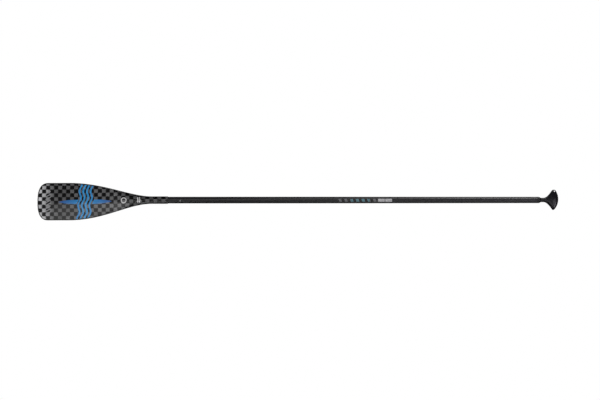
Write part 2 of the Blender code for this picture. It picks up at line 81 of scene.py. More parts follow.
shaft_low, shaft_high = shaft_ends()
tip_place, crown_place = cad_box[0][0], cad_box[1][0]
pixel = (crown_place - tip_place) / (CROWN_COLUMN - TIP_COLUMN)
aim_x = tip_place + (PICTURE_WIDTH / 2 - TIP_COLUMN) * pixel
fall = (shaft_high.z - shaft_low.z) / (shaft_high.x - shaft_low.x)
axis_height = shaft_low.z + fall * (aim_x - shaft_low.x)
aim_y = (axis_height - AIM_HEIGHT) / math.tan(VIEW_ELEVATION)
aim_y -= (PICTURE_HEIGHT / 2 - SHAFT_ROW) * pixel
aim = Vector((aim_x, aim_y, AIM_HEIGHT))
towards_camera = Vector((
    math.sin(VIEW_AZIMUTH) * math.cos(VIEW_ELEVATION),
    -math.cos(VIEW_AZIMUTH) * math.cos(VIEW_ELEVATION),
    math.sin(VIEW_ELEVATION),
))
camera_data = bpy.data.cameras.new("camera")
camera_data.type = "PERSP"
camera_data.sensor_width = SENSOR_WIDTH
camera_data.lens = SENSOR_WIDTH * VIEW_DISTANCE / (PICTURE_WIDTH * pixel)
camera_data.clip_end = VIEW_LIMIT
camera = bpy.data.objects.new("camera", camera_data)
camera.location = aim + VIEW_DISTANCE * towards_camera
camera.rotation_euler = (-towards_camera).to_track_quat("-Z", "Y").to_euler()
bpy.context.scene.collection.objects.link(camera)
bpy.context.scene.camera = camera


# The studio
# A wide white board under soft boxes, which stand behind, in front and beyond the blade's tip. Dim,
# wide ones hang overhead, where the shaft, the grip and the blade's gloss mirror them as streaks.

FLOOR_SIZE = 14.0
FLOOR_SQUARES = 8
BOARD_GREY = (0.08, 0.08, 0.08, 1)      # what the paddle mirrors of the board
ROOM_GREY = (0.01, 0.01, 0.01, 1)       # and of the room
PICTURE_WHITE = (1, 1, 1, 1)            # what the camera sees of both
CEILING = 2.4
LILAC = (0.94, 0.90, 1.0)     # tint of the boxes that the grip mirrors


def set_inputs(tree, node, inputs):
    """Gives a node's inputs their values, or links them to sockets."""
    for name, value in inputs.items():
        if isinstance(value, bpy.types.NodeSocket):
            tree.links.new(value, node.inputs[name])
        else:
            node.inputs[name].default_value = value


def shader_node(tree, kind, inputs=None, **settings):
    """A new node with its inputs and its settings."""
    made = tree.nodes.new(kind)
    for name, value in settings.items():
        setattr(made, name, value)
    set_inputs(tree, made, inputs or {})
    return made


def blended(tree, share, first, second):
    """A colour between two, each a colour or a socket."""
    made = shader_node(tree, "ShaderNodeMix", {0: share, 6: first, 7: second}, data_type="RGBA")
    return made.outputs[2]


def noise(tree, place, scale, detail, dimensions="3D", **more):
    """The outputs of a Noise Texture node, with more of its inputs by name."""
    return shader_node(
        tree, "ShaderNodeTexNoise", {"Vector": place, "Scale": scale, "Detail": detail, **more},
        noise_dimensions=dimensions).outputs


def relief(tree, height, strength, distance, **settings):
    """The normal of a surface that a pattern of heights embosses."""
    return shader_node(tree, "ShaderNodeBump", {
        "Height": height, "Strength": strength, "Distance": distance}, **settings).outputs[0]


def new_material(name):
    """An empty node material with its Principled BSDF, as (material, tree, shader)."""
    material = bpy.data.materials.new(name)
    material.use_nodes = True
    return material, material.node_tree, material.node_tree.nodes["Principled BSDF"]


def set_shader(tree, shader, **inputs):
    """Sets or links a shader's inputs, named with underscores for spaces."""
    set_inputs(tree, shader, {name.replace("_", " "): value for name, value in inputs.items()})


def board_material():
    """Matt board with a fine tooth. It lights the paddle as grey and shows as white."""
    material, tree, shader = new_material("white_board")
    place = shader_node(tree, "ShaderNodeTexCoord").outputs["Object"]
    tooth = noise(tree, place, scale=900.0, detail=3.0)[0]
    seen = shader_node(tree, "ShaderNodeLightPath").outputs["Is Camera Ray"]
    set_shader(
        tree, shader, Base_Color=blended(tree, seen, BOARD_GREY, (0, 0, 0, 1)), Roughness=0.9,
        Specular_IOR_Level=0.0, Normal=relief(tree, tooth, strength=0.05, distance=0.0005),
        Emission_Color=PICTURE_WHITE, Emission_Strength=seen)
    return material


def mesh_object(name, mesh):
    """A new object in the scene, made of this mesh."""
    data = bpy.data.meshes.new(name)
    mesh.to_mesh(data)
    mesh.free()
    made = bpy.data.objects.new(name, data)
    bpy.context.scene.collection.objects.link(made)
    return made


def add_floor():
    mesh = bmesh.new()
    bmesh.ops.create_grid(
        mesh, x_segments=FLOOR_SQUARES, y_segments=FLOOR_SQUARES, size=FLOOR_SIZE / 2)
    floor = mesh_object("floor", mesh)
    floor.data.materials.append(board_material())


def add_softbox(name, centre, aimed_at, size, radiance, colour=(1.0, 1.0, 1.0)):
    """A rectangular soft light. It lies beside or above the view and doesn't show in it."""
    data = bpy.data.lights.new(name, "AREA")
    data.shape = "RECTANGLE"
    data.size, data.size_y = size
    data.energy = radiance * math.pi * size[0] * size[1]
    data.color = colour
    box = bpy.data.objects.new(name, data)
    box.location = centre
    box.rotation_euler = (Vector(centre) - Vector(aimed_at)).to_track_quat("Z", "Y").to_euler()
    box.visible_camera = False
    bpy.context.scene.collection.objects.link(box)


def hang_softbox(name, x, y, size, radiance, **tint):
    """A soft light under the ceiling that faces straight down."""
    add_softbox(name, (x, y, CEILING), (x, y, 0), size, radiance, **tint)


def light_room():
    """A faint glow all round, and the soft boxes that each piece mirrors."""
    world = bpy.data.worlds.new("room")
    bpy.context.scene.world = world
    world.use_nodes = True
    tree = world.node_tree
    seen = shader_node(tree, "ShaderNodeLightPath").outputs["Is Camera Ray"]
    shade = blended(tree, seen, ROOM_GREY, PICTURE_WHITE)
    tree.links.new(shade, tree.nodes["Background"].inputs["Color"])
    bpy.context.scene.view_settings.view_transform = "Standard"
    # Behind the paddle
    add_softbox("far_box_shaft", (0.5, 2.3, 1.3), (0.5, 0, 0), (1.1, 0.6), 2.0)
    add_softbox("far_box_grip", (1.5, 2.3, 1.3), (1.5, 0, 0), (1.1, 0.6), 5.0)
    add_softbox("far_box_low", (1.3, 2.3, 0.3), (1.0, 0, 0), (1.2, 0.4), 4.4)
    # In front
    add_softbox("near_box_grip", (1.0, -2.0, 0.6), (1.0, 0, 0), (2.1, 0.6), 1.05)
    add_softbox("near_box_neck", (-0.8, -1.3, 0.75), (-0.8, 0, 0), (0.5, 0.4), 2.6)
    # Overhead
    hang_softbox("top_box_grip", 1.6, -0.2, (0.8, 0.7), 2.0, colour=LILAC)
    add_softbox("top_box_palm", (2.4, -0.9, 2.0), (1.1, 0, 0), (0.8, 0.8), 6.0, colour=LILAC)
    hang_softbox("top_box_flare", 1.0, -0.75, (0.5, 0.6), 1.8, colour=LILAC)
    add_softbox("top_box_print", (0.45, -0.9, CEILING), (1.1, 0, 0), (0.6, 0.6), 1.4)
    hang_softbox("top_box_shaft", -0.05, 0.4, (1.6, 0.5), 1.7)
    hang_softbox("top_box_neck", -0.7, -0.5, (0.9, 0.4), 0.9)
    hang_softbox("top_box_shoulder", -1.6, -0.9, (0.9, 0.4), 5.8)
    hang_softbox("haze_box", -2.05, -0.1, (1.8, 0.4), 0.95)
    # Beyond the blade's tip
    add_softbox("end_box_far", (-3.0, 0.2, 0.9), (-0.9, 0, 0), (1.6, 1.4), 4.1)
    add_softbox("end_box_near", (-2.4, -0.8, 1.4), (-0.9, 0, 0), (1.4, 1.0), 1.2)


add_floor()
light_room()


# The paddle's own frame
# Everything is modelled along the shaft: x from the blade's tip, z square to the power face. The
# shaft's axis in the loaded model says how the paddle lies on the floor.

BLADE_LENGTH = 0.505          # tip to where the neck is round
NECK_LENGTH = 0.070           # round part of the blade's neck
SOCKET_DEPTH = 0.094          # how far the shaft goes into the neck

NECK_END = BLADE_LENGTH + NECK_LENGTH
SHAFT_START = NECK_END - SOCKET_DEPTH
along_shaft = (shaft_high - shaft_low).normalized()
REST_SLOPE = -along_shaft.z / along_shaft.x
up_from_face = along_shaft.cross(Vector((0, 1, 0)))
paddle_origin = shaft_low - SHAFT_START * along_shaft
to_world = Matrix((along_shaft, (0, 1, 0), up_from_face)).transposed().to_4x4()
to_world.translation = paddle_origin


# The blade's skins
# Two skins of coarse spread-tow carbon under a thick gloss coat, laid over a foam core. The power
# face has a soft ridge and the back a rib, and both run on round the neck as half shells.

BLADE_WIDTH = 0.1648
GAP = 0.0003                  # joint between pieces that butt together
TIP_CORNER = 0.050            # length of the rounded tip, a superellipse
TIP_SQUARENESS = 2.6
TIP_EDGE = 0.094              # stretch of the tip's edge that runs nearly straight across
SIDES_DRAW_IN = 0.139         # tip to where the parallel sides begin to draw in
SHOULDER_REACH = 0.155        # how long their curve keeps to the sides, and to the neck
NECK_REACH = 0.099
PANEL_LENGTH = 0.150          # flat panel at the tip
BLADE_DROP = 0.072            # from the shaft's axis down to the panel's upper end
PANEL_REACH = 0.140           # how long the bend keeps to the panel, and to the shaft's axis
BEND_REACH = 0.085
BEND_CLEARANCE = 0.005        # from the bend's end to the shaft's
EDGE_HALF = 0.0018            # half the thickness at the edge
EDGE_ROUNDING = 0.002         # how far in from the edge the sides are rounded
FACE_RIDGE = 0.0036           # height of the power face's centre ridge over its edges
RIDGE_SOFTNESS = 0.16         # of the half width
BACK_CROWN = 0.0022           # height of the back's middle over its edges, and of its rib
SPINE_HEIGHT = 0.0085
SPINE_HALF_WIDTH = 0.020
SPINE_FULL = 0.360            # tip to where the rib has its full height
ROUNDING_FROM = 0.290         # tip to where the section begins to turn into the round neck
SKIN = 0.00085                # thickness of the laminate
RAIL_WIDTH = 0.004            # of the bead that covers the skins' edges
RAIL_TO_NECK = 0.135          # from its end to where the neck is round
RAIL_TAPER = 0.100            # over which it thins to its end
RAIL_END_WIDTH = 0.0006
BORE_FADE = 0.035             # over which the skins' inside turns into the neck's bore
NECK_BORE = 0.0154            # the sleeve in the neck and its glue line
NECK_CHAMFER = 0.0007         # of the neck's lip
COLUMNS = 64                  # facets across a skin
TIP_ROWS, STRAIGHT_ROWS, SIDE_ROWS = 22, 10, 72
NUDGE = 1e-5                  # step that a slope is measured over
HALVINGS = 40                 # of the stretch in which a curve's place is sought
SHARP_ANGLE = math.radians(40)          # edges that turn by more stay crisp

HALF_WIDTH = BLADE_WIDTH / 2
NECK_RADIUS = NECK_BORE + SKIN
SEAM_ANGLE = GAP / 2 / NECK_RADIUS
BEND_TOP = SHAFT_START - BEND_CLEARANCE
RAIL_END = BLADE_LENGTH - RAIL_TO_NECK
SIDE_CURVE = (
    (SIDES_DRAW_IN, HALF_WIDTH),
    (SIDES_DRAW_IN + SHOULDER_REACH, HALF_WIDTH),
    (BLADE_LENGTH - NECK_REACH, NECK_RADIUS),
    (BLADE_LENGTH, NECK_RADIUS),
)
BEND_CURVE = (
    (PANEL_LENGTH, -BLADE_DROP),
    (PANEL_LENGTH + PANEL_REACH, -BLADE_DROP + PANEL_REACH * REST_SLOPE),
    (BEND_TOP - BEND_REACH, 0.0),
    (BEND_TOP, 0.0),
)


def smooth(share):
    """0 to 1 with level ends."""
    share = min(max(share, 0.0), 1.0)
    return share * share * (3 - 2 * share)


def spaced(start, end, count):
    """Places from start to end, count even steps apart."""
    return [start + (end - start) * step / count for step in range(count + 1)]


def ridge_fall(across, softness):
    """How far a ridge has fallen: 0 on its rounded top and 1 at across = 1, where it ends."""
    return (math.hypot(across, softness) - softness) / (math.hypot(1, softness) - softness)


def bezier(points, t):
    """The point at t on a cubic curve with these four control points."""
    weights = ((1 - t) ** 3, 3 * (1 - t) ** 2 * t, 3 * (1 - t) * t * t, t ** 3)
    return tuple(sum(w * p[axis] for w, p in zip(weights, points)) for axis in (0, 1))


def bezier_height(points, x):
    """The curve's second coordinate where its first is x; the first only grows along it."""
    low, high = 0.0, 1.0
    for _ in range(HALVINGS):
        middle = (low + high) / 2
        if bezier(points, middle)[0] < x:
            low = middle
        else:
            high = middle
    return bezier(points, low)[1]


@lru_cache(maxsize=None)
def middle_height(x):
    """Height of the blade's middle surface: level with the shaft, bent down, then the flat panel."""
    if x >= BEND_TOP:
        return 0.0
    if x > PANEL_LENGTH:
        return bezier_height(BEND_CURVE, x)
    return -BLADE_DROP + REST_SLOPE * (x - PANEL_LENGTH)


@lru_cache(maxsize=None)
def half_width(x):
    """Half the blade's width at x, outside its bead."""
    if x < TIP_CORNER:
        left = 1 - x / TIP_CORNER
        return HALF_WIDTH * (1 - left ** TIP_SQUARENESS) ** (1 / TIP_SQUARENESS)
    if x <= SIDES_DRAW_IN:
        return HALF_WIDTH
    if x >= BLADE_LENGTH:
        return NECK_RADIUS
    return bezier_height(SIDE_CURVE, x)


def tip_x(y):
    """Where the tip's rounded edge lies at y off the centreline."""
    share = 1 - (abs(y) / HALF_WIDTH) ** TIP_SQUARENESS
    return TIP_CORNER * (1 - share ** (1 / TIP_SQUARENESS))


def inside_edge(x, y, inset):
    """The point that lies inset inside the outline's point (x, y), for y on either side."""
    side = math.copysign(1.0, y)
    if x < TIP_CORNER:
        power = TIP_SQUARENESS - 1
        out_x = -((1 - x / TIP_CORNER) ** power) / TIP_CORNER
        out_y = side * (abs(y) / HALF_WIDTH) ** power / HALF_WIDTH
    else:
        out_x = -(half_width(x + NUDGE) - half_width(x - NUDGE)) / (2 * NUDGE)
        out_y = side
    size = math.hypot(out_x, out_y)
    return x - inset * out_x / size, y - inset * out_y / size


def section(x, angle, side):
    """(y, height) of the blade's outer surface over its middle surface.

    The angle runs from 0 at the +Y edge to pi at the -Y edge. side is 1 on the power face and -1 on
    the back.
    """
    width = half_width(max(x, TIP_CORNER))
    across = abs(math.cos(angle))
    y = width * math.cos(angle)
    from_edge = min(width * (1 - across) / EDGE_ROUNDING, 1.0)
    height = EDGE_HALF * math.sqrt(1 - (1 - from_edge) ** 2)
    leaves_panel = smooth((x - PANEL_LENGTH) / (SPINE_FULL - PANEL_LENGTH))
    if side > 0:
        ridge = 1 - ridge_fall(across, RIDGE_SOFTNESS)
        height += FACE_RIDGE * smooth(x / PANEL_LENGTH) * ridge
    else:
        height += BACK_CROWN * leaves_panel * (1 - across ** 2)
        off_spine = min(abs(y) / SPINE_HALF_WIDTH, 1.0)
        height += SPINE_HEIGHT * leaves_panel * (1 - off_spine ** 2) ** 2
    roundness = smooth((x - ROUNDING_FROM) / (BEND_TOP - ROUNDING_FROM))
    return y, (1 - roundness) * height + roundness * NECK_RADIUS * math.sin(angle)


def surface(x, angle, side, depth):
    """The surface depth under the blade's skin; at the neck it turns into the sleeve's bore."""
    y, height = section(x, angle, side)
    if depth:
        before, after = section(x, angle - NUDGE, side), section(x, angle + NUDGE, side)
        across, up = after[0] - before[0], after[1] - before[1]
        size = math.hypot(across, up)
        y, height = y - depth * up / size, height + depth * across / size
        into_bore = smooth((x - BEND_TOP + BORE_FADE) / BORE_FADE)
        y += (NECK_BORE * math.cos(angle) - y) * into_bore
        height += (NECK_BORE * math.sin(angle) - height) * into_bore
    return x, y, middle_height(x) + side * height


def rail_width(x):
    """Width of the bead at x: it tapers away towards the neck."""
    taper = smooth((x - RAIL_END + RAIL_TAPER) / RAIL_TAPER)
    return RAIL_WIDTH + (RAIL_END_WIDTH - RAIL_WIDTH) * taper


def blade_stations(spacing=0.0012):
    """Places down the blade's side, from the end of the tip's straight edge to the neck's lip."""
    fixed = [RAIL_END, RAIL_END + 2 * GAP, NECK_END - NECK_CHAMFER]
    first = math.asin((TIP_EDGE / BLADE_WIDTH) ** (TIP_SQUARENESS / 2))
    places = [TIP_CORNER * (1 - math.cos(turn) ** (2 / TIP_SQUARENESS))
              for turn in spaced(first, math.pi / 2, TIP_ROWS)[:-1]]
    places += spaced(TIP_CORNER, SIDES_DRAW_IN, STRAIGHT_ROWS)[:-1]
    places += [bezier(SIDE_CURVE, t)[0] for t in spaced(0.0, 1.0, SIDE_ROWS)]
    free = [x for x in places if min(abs(x - other) for other in fixed) > spacing]
    return sorted(free + fixed)


def columns_from(edge_angle, count):
    """Angles across a half section that stops edge_angle short of each side."""
    return spaced(edge_angle, math.pi - edge_angle, count)


def layer_inset(x):
    """From the outline to a skin's edge: it stops at the bead, or where the two sides meet."""
    return rail_width(x) + GAP if x <= RAIL_END else 0.0


def blade_grid(side, depth):
    """Rows of points on one surface of the blade, up to the lip of the neck."""
    rows = []
    lead_x = None
    stations = blade_stations()
    for x in stations:
        inset = layer_inset(x)
        row_x, edge = inside_edge(x, half_width(x), inset)
        width = half_width(max(row_x, TIP_CORNER))
        edge_angle = math.acos(edge / width) if inset else SEAM_ANGLE
        shares = [math.cos(a) / math.cos(edge_angle) for a in columns_from(edge_angle, COLUMNS)]
        if lead_x is None:
            lead_x = row_x
            tip = [inside_edge(tip_x(v * TIP_EDGE / 2), v * TIP_EDGE / 2, inset) for v in shares]
        row = []
        fade = 1 - smooth((row_x - lead_x) / TIP_CORNER)
        for share, (bow_x, bow_y) in zip(shares, tip):
            at_x = row_x - (lead_x - bow_x) * fade if x < TIP_CORNER else row_x
            at_y = bow_y if x == stations[0] else edge * share
            angle = math.acos(max(min(at_y / half_width(max(at_x, TIP_CORNER)), 1), -1))
            row.append(surface(at_x, angle, side, depth))
        rows.append(row)
    radius = NECK_BORE if depth else NECK_RADIUS - NECK_CHAMFER
    rows.append([
        (NECK_END, radius * math.cos(a), side * radius * math.sin(a))
        for a in columns_from(SEAM_ANGLE, COLUMNS)
    ])
    return rows


def slab(upper, lower):
    """A closed body between two grids of points, with the cloth's own plan as its UV map.

    The plan is in metres: along the paddle from the tip, and across from the middle, both measured
    on the surface.
    """
    mesh = bmesh.new()
    plan = {}
    grids = []
    for rows in (upper, lower):
        grid = []
        for row in rows:
            reach = [0.0]
            for (_, y, z), (_, other_y, other_z) in zip(row, row[1:]):
                reach.append(reach[-1] + math.hypot(other_y - y, other_z - z))
            verts = [mesh.verts.new(p) for p in row]
            for vert, point, far in zip(verts, row, reach):
                plan[vert] = (point[0], reach[-1] / 2 - far)
            grid.append(verts)
        grids.append(grid)
    top, bottom = grids
    last_row, last = len(top) - 1, len(top[0]) - 1
    for i in range(last_row):
        for j in range(last):
            mesh.faces.new((top[i][j], top[i + 1][j], top[i + 1][j + 1], top[i][j + 1]))
            mesh.faces.new((bottom[i][j], bottom[i][j + 1], bottom[i + 1][j + 1], bottom[i + 1][j]))
        for j in (0, last):
            mesh.faces.new((top[i][j], bottom[i][j], bottom[i + 1][j], top[i + 1][j]))
    for j in range(last):
        for i in (0, last_row):
            mesh.faces.new((top[i][j], top[i][j + 1], bottom[i][j + 1], bottom[i][j]))
    uv = mesh.loops.layers.uv.new("cloth")
    for face in mesh.faces:
        for corner in face.loops:
            corner[uv].uv = plan[corner.vert]
    return mesh


def face_outwards(mesh):
    """Turns a closed body's faces to the outside."""
    bmesh.ops.recalc_face_normals(mesh, faces=mesh.faces)
    if mesh.calc_volume(signed=True) < 0:
        bmesh.ops.reverse_faces(mesh, faces=mesh.faces)


def add_piece(name, mesh, material, slot, *replaced):
    """A finished piece in its place, riding on the paddle in the stead of the nodes it replaces."""
    face_outwards(mesh)
    piece = mesh_object(name, mesh)
    piece.data.transform(to_world)
    piece.data.shade_smooth()
    piece.data.set_sharp_from_angle(angle=SHARP_ANGLE)
    piece.data.materials.append(material)
    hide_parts(*replaced)
    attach(piece, "root")


def maths(tree, operation, *values):
    """A Math node's result for values that are numbers or sockets."""
    return shader_node(
        tree, "ShaderNodeMath", dict(enumerate(values)), operation=operation).outputs[0]


def product(tree, result, *others):
    """The product of values or masks: for masks, 1 where all are 1."""
    for value in others:
        result = maths(tree, "MULTIPLY", result, value)
    return result


def either(tree, result, *others):
    """1 where any of the masks is 1."""
    for mask in others:
        result = maths(tree, "MAXIMUM", result, mask)
    return result


def opposite(tree, mask):
    """1 where the mask is 0, and 0 where it is 1."""
    return maths(tree, "SUBTRACT", 1.0, mask)


def ranged(tree, value, low, high):
    """From low to high as the value goes from 0 to 1."""
    return maths(tree, "MULTIPLY_ADD", value, high - low, low)


def ramp(tree, value, start, end, ease="SMOOTHSTEP"):
    """From 0 to 1 as the value goes from start to end."""
    return shader_node(
        tree, "ShaderNodeMapRange", {"Value": value, "From Min": start, "From Max": end},
        interpolation_type=ease).outputs[0]


def effect(tree, group, inputs):
    """The outputs of a node group that is placed in a material."""
    return shader_node(tree, "ShaderNodeGroup", inputs, node_tree=group).outputs


def shaded(tree, colour, shade):
    """A colour of three numbers made darker or lighter by a factor."""
    return shader_node(
        tree, "ShaderNodeVectorMath", {0: colour, "Scale": shade}, operation="SCALE").outputs[0]


def group_tree(name, inputs, outputs):
    """A shader node group with float sockets, as (tree, its input node's outputs, output node)."""
    tree = bpy.data.node_groups.new(name, "ShaderNodeTree")
    for socket in inputs:
        tree.interface.new_socket(socket, in_out="INPUT", socket_type="NodeSocketFloat")
    for socket in outputs:
        tree.interface.new_socket(socket, in_out="OUTPUT", socket_type="NodeSocketFloat")
    return tree, tree.nodes.new("NodeGroupInput").outputs, tree.nodes.new("NodeGroupOutput")


def put_out(tree, result, sockets):
    """Links a group's results to its outputs and returns the finished group."""
    for name, socket in sockets.items():
        tree.links.new(socket, result.inputs[name])
    return tree


TOW_ALONG, TOW_ACROSS = 0.01757, 0.0167         # size of the cloth's cells
CLOTH_START, CLOTH_OFFSET = 0.0029, 0.0031      # where its first joints lie
TOW_WANDER = 0.09             # how far its joints stray, in cells
TOW_EDGE = 0.16               # over which a tow sinks to its joint, in cells
STREAKS_ACROSS, STREAKS_ALONG = 1500.0, 28.0    # of its fibres, per metre


def spread_tow_group():
    """Flat tows woven over and under one another, cell by cell.

    Crosswise is 1 where the tow on top runs across. Tow is a chance value for each cell, Fibre the
    fine streaks along the tow on top, and Crown its swell between the joints.
    """
    tree, given, result = group_tree(
        "spread_tow_cloth", ("Along", "Across", "Cell length", "Cell width"),
        ("Crosswise", "Tow", "Fibre", "Crown"))
    flat = shader_node(
        tree, "ShaderNodeCombineXYZ", {0: given["Along"], 1: given["Across"]}).outputs[0]
    sway = noise(tree, flat, scale=130.0, detail=2.0, dimensions="2D")["Color"]
    sway = shader_node(tree, "ShaderNodeSeparateColor", {0: sway}).outputs
    cells = []
    for place, size, wander in (
            (given["Along"], given["Cell length"], sway["Red"]),
            (given["Across"], given["Cell width"], sway["Green"])):
        cell = maths(tree, "SUBTRACT", maths(tree, "DIVIDE", place, size), TOW_WANDER / 2)
        cells.append(maths(tree, "MULTIPLY_ADD", wander, TOW_WANDER, cell))
    column, row = (maths(tree, "FLOOR", cell) for cell in cells)
    crosswise = opposite(tree, maths(tree, "PINGPONG", maths(tree, "ADD", column, row), 1.0))
    chance = shader_node(
        tree, "ShaderNodeTexWhiteNoise",
        {"Vector": shader_node(tree, "ShaderNodeCombineXYZ", {0: column, 1: row}).outputs[0]},
        noise_dimensions="2D").outputs[0]
    streaks = []
    for scales in ((STREAKS_ALONG, STREAKS_ACROSS, 0), (STREAKS_ACROSS, STREAKS_ALONG, 0)):
        stretched = shader_node(
            tree, "ShaderNodeVectorMath", {0: flat, 1: scales}, operation="MULTIPLY").outputs[0]
        streaks.append(noise(
            tree, stretched, scale=1.0, detail=3.0, dimensions="2D", Roughness=0.6)[0])
    fibre = shader_node(
        tree, "ShaderNodeMix", {0: crosswise, 2: streaks[0], 3: streaks[1]}).outputs[0]
    edges = [maths(tree, "PINGPONG", cell, 0.5) for cell in cells]
    crown = ramp(tree, maths(tree, "MINIMUM", *edges), 0.0, TOW_EDGE)
    return put_out(
        tree, result, {"Crosswise": crosswise, "Tow": chance, "Fibre": fibre, "Crown": crown})


spread_tow = spread_tow_group()


def within(tree, value, centre, reach):
    """1 where the value lies within reach of the centre."""
    return maths(tree, "COMPARE", value, centre, reach)


def stripes(tree, value, step, share):
    """1 on stripes that take up a share of each step."""
    part = maths(tree, "FRACT", maths(tree, "DIVIDE", value, step))
    return maths(tree, "LESS_THAN", part, share)


# Places of the prints from the tip, and their reach to both sides
WAVES_AT, WAVES_REACH = 0.2115, 0.0305
STRIPE_AT, STRIPE_REACH = 0.211, 0.118
BARS_AT, BARS_REACH = 0.047, 0.011
RING_AT, RING_RADIUS = 0.382, 0.0108
PAIR_AT, PAIR_REACH = (0.4440, 0.4525), 0.0026
# Their forms
WAVE_LENGTH, WAVE_HEIGHT, WAVE_LEAN = 0.062, 0.0045, 0.092
WAVE_STEP, WAVE_SHARE = 0.0165, 0.48            # from wave to wave, and the blue part of it
WAVE_MARGIN = 0.0345          # from the waves' middle to where the stripe goes on
STRIPE_OFFSET, STRIPE_HALF_WIDTH = 0.002, 0.0095
STRIPE_BLUNTNESS = 4.0        # higher is blunter
STRIPE_FADE = 1.1             # how fast its blue deepens towards its points
BAR_LEAN, BAR_STEP, BAR_SHARE = 0.55, 0.0128, 0.36
BAR_START, BAR_MIDDLE, BAR_SPREAD = -0.0016, -0.0275, 0.0512    # across, where along is 0
RING_HALF_LINE = 0.0021
PAIR_HALF_WIDTH = 0.0125


def face_prints(tree, along, across):
    """Generic printed decoration on the power face: (blue mask, its depth, silver and white masks).

    Four waves cross the blade, a pointed stripe runs down its middle, a row of slanted bars stands
    near the tip, and a ring and a pair of bars follow towards the neck.
    """
    wave = maths(tree, "SINE", maths(tree, "MULTIPLY", across, 2 * math.pi / WAVE_LENGTH))
    bow = maths(tree, "MULTIPLY_ADD", across, WAVE_LEAN, product(tree, wave, WAVE_HEIGHT))
    from_waves = maths(tree, "SUBTRACT", maths(tree, "SUBTRACT", along, WAVES_AT), bow)
    waves = product(
        tree, within(tree, from_waves, 0.0, WAVES_REACH),
        stripes(tree, maths(tree, "ADD", from_waves, WAVES_REACH), WAVE_STEP, WAVE_SHARE))
    off_middle = maths(tree, "ABSOLUTE", maths(tree, "ADD", across, STRIPE_OFFSET))
    to_point = maths(tree, "ABSOLUTE", maths(
        tree, "DIVIDE", maths(tree, "SUBTRACT", along, STRIPE_AT), STRIPE_REACH))
    bulge = opposite(tree, maths(tree, "POWER", to_point, STRIPE_BLUNTNESS))
    stripe = maths(tree, "LESS_THAN", off_middle, product(tree, bulge, STRIPE_HALF_WIDTH))
    clear = opposite(tree, within(tree, from_waves, 0.0, WAVE_MARGIN))
    blue = either(tree, waves, product(tree, stripe, clear))
    depth = maths(tree, "MINIMUM", product(tree, to_point, STRIPE_FADE), 1.0)

    slant = maths(tree, "MULTIPLY_ADD", along, -BAR_LEAN, across)
    bars = product(
        tree, stripes(tree, maths(tree, "SUBTRACT", slant, BAR_START), BAR_STEP, BAR_SHARE),
        within(tree, along, BARS_AT, BARS_REACH), within(tree, slant, BAR_MIDDLE, BAR_SPREAD))
    from_ring = maths(tree, "SUBTRACT", along, RING_AT)
    out = maths(tree, "SQRT", maths(
        tree, "MULTIPLY_ADD", from_ring, from_ring, product(tree, across, across)))
    ring = within(tree, out, RING_RADIUS, RING_HALF_LINE)
    pair = product(tree, within(tree, across, 0.0, PAIR_HALF_WIDTH), either(
        tree, *(within(tree, along, place, PAIR_REACH) for place in PAIR_AT)))
    return blue, depth, bars, either(tree, ring, pair)


BLACK_TOW = (0.003, 0.003, 0.0035, 1)
SILVER_TOW = (0.135, 0.135, 0.138)
TOW_METALLIC = 0.3
FIBRE_RELIEF = 0.08           # of a tow's swell
TIP_HIGHLIGHT_LENGTH, TIP_HIGHLIGHT_GAIN = 0.08, 5.0      # painted highlight: crosswise tows painted lighter towards the tip, over this length and up to this many times
PRINT_BLUE = (0.046, 0.37, 0.80, 1)
PRINT_DEEP_BLUE = (0.039, 0.125, 0.40, 1)
PRINT_SILVER = (0.33, 0.33, 0.34, 1)
PRINT_WHITE = (0.72, 0.72, 0.72, 1)


def laminate_material(name, printed):
    """Spread-tow carbon in clear resin. Tows that run across are paler, and near the tip they are
    painted lighter still, a painted highlight.
    """
    material, tree, shader = new_material(name)
    plan = shader_node(tree, "ShaderNodeUVMap", uv_map="cloth").outputs[0]
    place = shader_node(tree, "ShaderNodeSeparateXYZ", {0: plan}).outputs
    along, across = place["X"], place["Y"]
    cloth = effect(tree, spread_tow, {
        "Along": maths(tree, "SUBTRACT", along, CLOTH_START),
        "Across": maths(tree, "SUBTRACT", across, CLOTH_OFFSET),
        "Cell length": TOW_ALONG, "Cell width": TOW_ACROSS})
    crosswise, fibre, crown = cloth["Crosswise"], cloth["Fibre"], cloth["Crown"]
    # The last factor is a painted highlight: crosswise tows painted lighter near the tip.
    shade = product(
        tree, ranged(tree, cloth["Tow"], 0.75, 1.25), ranged(tree, fibre, 0.65, 1.35),
        ranged(tree, crown, 0.65, 1.0),
        ranged(tree, ramp(tree, along, 0.0, TIP_HIGHLIGHT_LENGTH), TIP_HIGHLIGHT_GAIN, 1.0))
    colour = blended(tree, crosswise, BLACK_TOW, shaded(tree, SILVER_TOW, shade))
    metallic = TOW_METALLIC
    if printed:
        blue, depth, silver, white = face_prints(tree, along, across)
        colour = blended(tree, blue, colour, blended(tree, depth, PRINT_BLUE, PRINT_DEEP_BLUE))
        colour = blended(tree, silver, colour, PRINT_SILVER)
        colour = blended(tree, white, colour, PRINT_WHITE)
        metallic = product(tree, opposite(tree, either(tree, blue, silver, white)), TOW_METALLIC)
    swell = maths(tree, "MULTIPLY_ADD", fibre, FIBRE_RELIEF, crown)
    along_cloth = shader_node(
        tree, "ShaderNodeTangent", direction_type="UV_MAP", uv_map="cloth").outputs[0]
    wear = noise(tree, plan, scale=35.0, detail=6.0)[0]
    set_shader(
        tree, shader, Base_Color=colour, Metallic=metallic, Roughness=ranged(tree, wear, 0.34, 0.46),
        Normal=relief(tree, swell, strength=0.35, distance=0.00015), Tangent=along_cloth,
        Anisotropic=0.75, Anisotropic_Rotation=ranged(tree, crosswise, 0.25, 0.0),
        Specular_IOR_Level=0.2, Coat_Weight=1.0, Coat_Roughness=0.12, Coat_IOR=1.5)
    return material


for node_name, side, printed in (("blade_face_skin", 1, True), ("blade_back_skin", -1, False)):
    add_piece(
        node_name.replace("blade", "carbon"), slab(blade_grid(side, 0.0), blade_grid(side, SKIN)),
        laminate_material(node_name, printed), "blade_laminate", node_name)


